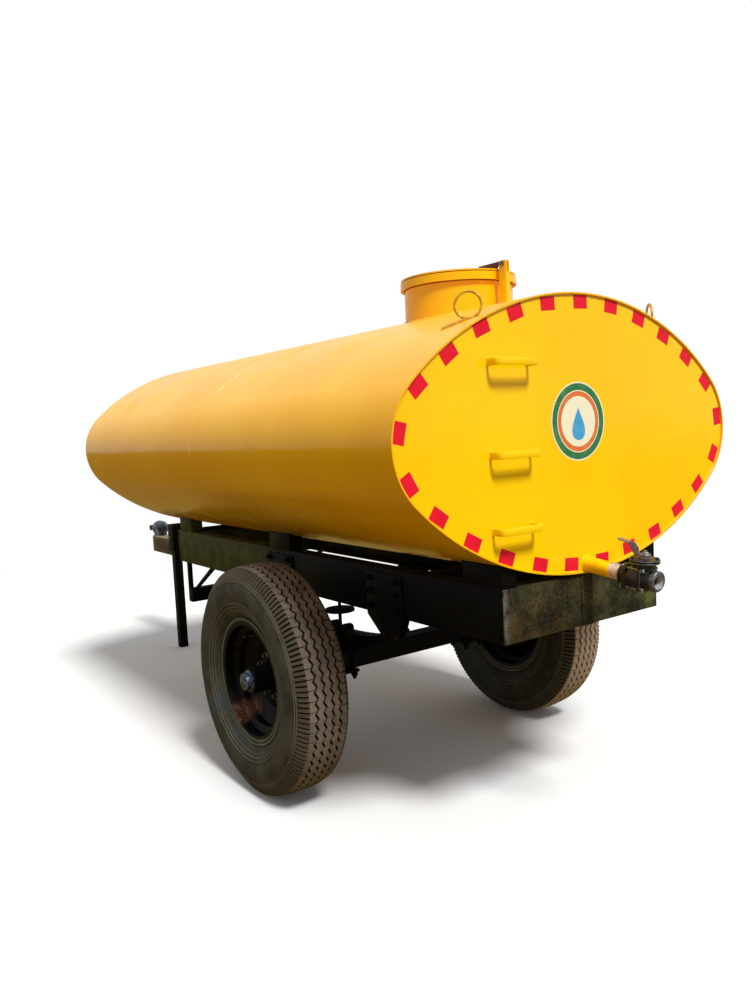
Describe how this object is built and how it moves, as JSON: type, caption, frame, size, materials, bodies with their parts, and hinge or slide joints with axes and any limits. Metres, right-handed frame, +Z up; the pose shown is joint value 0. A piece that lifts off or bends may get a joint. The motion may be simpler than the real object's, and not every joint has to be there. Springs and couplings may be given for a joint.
{
  "type": "tanker trailer",
  "caption": "Two-wheel water tanker trailer: oval steel tank with a rear ball-valve outlet, rear steps and a top manhole, on a channel chassis with leaf springs, drawbar and parking leg.",
  "frame": {"origin": "on the ground under the middle of the length, in the middle plane", "axes": "+X forwards to the towing eye, +Y to the left, +Z up"},
  "size_m": [4.9082, 1.819, 2.2619],
  "materials": {
    "tank_paint": "gloss",
    "red_rubber": "matte",
    "red_oxide_paint": "satin",
    "ochre_paint": "satin",
    "zinc_steel": "satin",
    "black_valve": "satin",
    "valve_lever": "satin",
    "tyre": "matte",
    "rim_paint": "satin",
    "hub_iron": "satin",
    "spring_steel": "satin",
    "drawbar_paint": "satin",
    "chassis_paint": "gloss"
  },
  "bodies": {
    "trailer": {"axle_beam": "chassis_paint", "ball_valve": "black_valve", "cross_member_front": "chassis_paint", "cross_member_inner_front": "chassis_paint", "cross_member_inner_rear": "chassis_paint", "cross_member_rear": "chassis_paint", "drawbar": "drawbar_paint", "drop_frame": "chassis_paint", "frame_rail_left": "chassis_paint", "frame_rail_right": "chassis_paint", "front_head": "tank_paint", "hitch_bracket": "drawbar_paint", "hose_adapter": "black_valve", "leaf_spring_left": "spring_steel", "leaf_spring_right": "spring_steel", "leg_bracket": "chassis_paint", "leg_pin": "zinc_steel", "lid_gasket": "red_rubber", "lid_hinge_pin": "zinc_steel", "lid_hinge_post": "tank_paint", "lifting_ring_left": "ochre_paint", "lifting_ring_right": "ochre_paint", "manhole_neck": "tank_paint", "outlet_pipe": "tank_paint", "outlet_support": "chassis_paint", "rear_head": "tank_paint", "rear_steps": "tank_paint", "saddle_front_left": "chassis_paint", "saddle_front_right": "chassis_paint", "saddle_middle_left": "chassis_paint", "saddle_middle_right": "chassis_paint", "saddle_rear_left": "chassis_paint", "saddle_rear_right": "chassis_paint", "spring_clamp_left": "chassis_paint", "spring_clamp_right": "chassis_paint", "spring_hanger_front_left": "chassis_paint", "spring_hanger_front_right": "chassis_paint", "spring_hanger_rear_left": "chassis_paint", "spring_hanger_rear_right": "chassis_paint", "tank_barrel": "tank_paint", "tow_eye": "drawbar_paint", "valve_lever": "valve_lever"},
    "wheel_left": {"tyre_left": "tyre", "rim_left": "rim_paint", "hub_left": "hub_iron"},
    "wheel_right": {"tyre_right": "tyre", "rim_right": "rim_paint", "hub_right": "hub_iron"},
    "lid": {"manhole_lid": "tank_paint", "lid_hinge_strap": "red_oxide_paint", "lid_handle": "tank_paint"},
    "leg": {"parking_leg": "chassis_paint"}
  },
  "joints": [
    {"name": "wheel_left_spin", "type": "hinge", "parent": "trailer", "child": "wheel_left", "pos_m": [-0.96092, 0.7765, 0.509], "axis": [0, 1, 0], "continuous": true},
    {"name": "wheel_right_spin", "type": "hinge", "parent": "trailer", "child": "wheel_right", "pos_m": [-0.96092, -0.7765, 0.509], "axis": [0, 1, 0], "continuous": true},
    {"name": "lid_hinge", "type": "hinge", "parent": "trailer", "child": "lid", "pos_m": [-1.74392, 0, 2.2319], "axis": [0, -1, 0], "range_deg": [0, 100]},
    {"name": "leg_swing", "type": "hinge", "parent": "trailer", "child": "leg", "pos_m": [1.72908, 0.1025, 0.84], "axis": [0, 1, 0], "range_deg": [0, 90]}
  ]
}
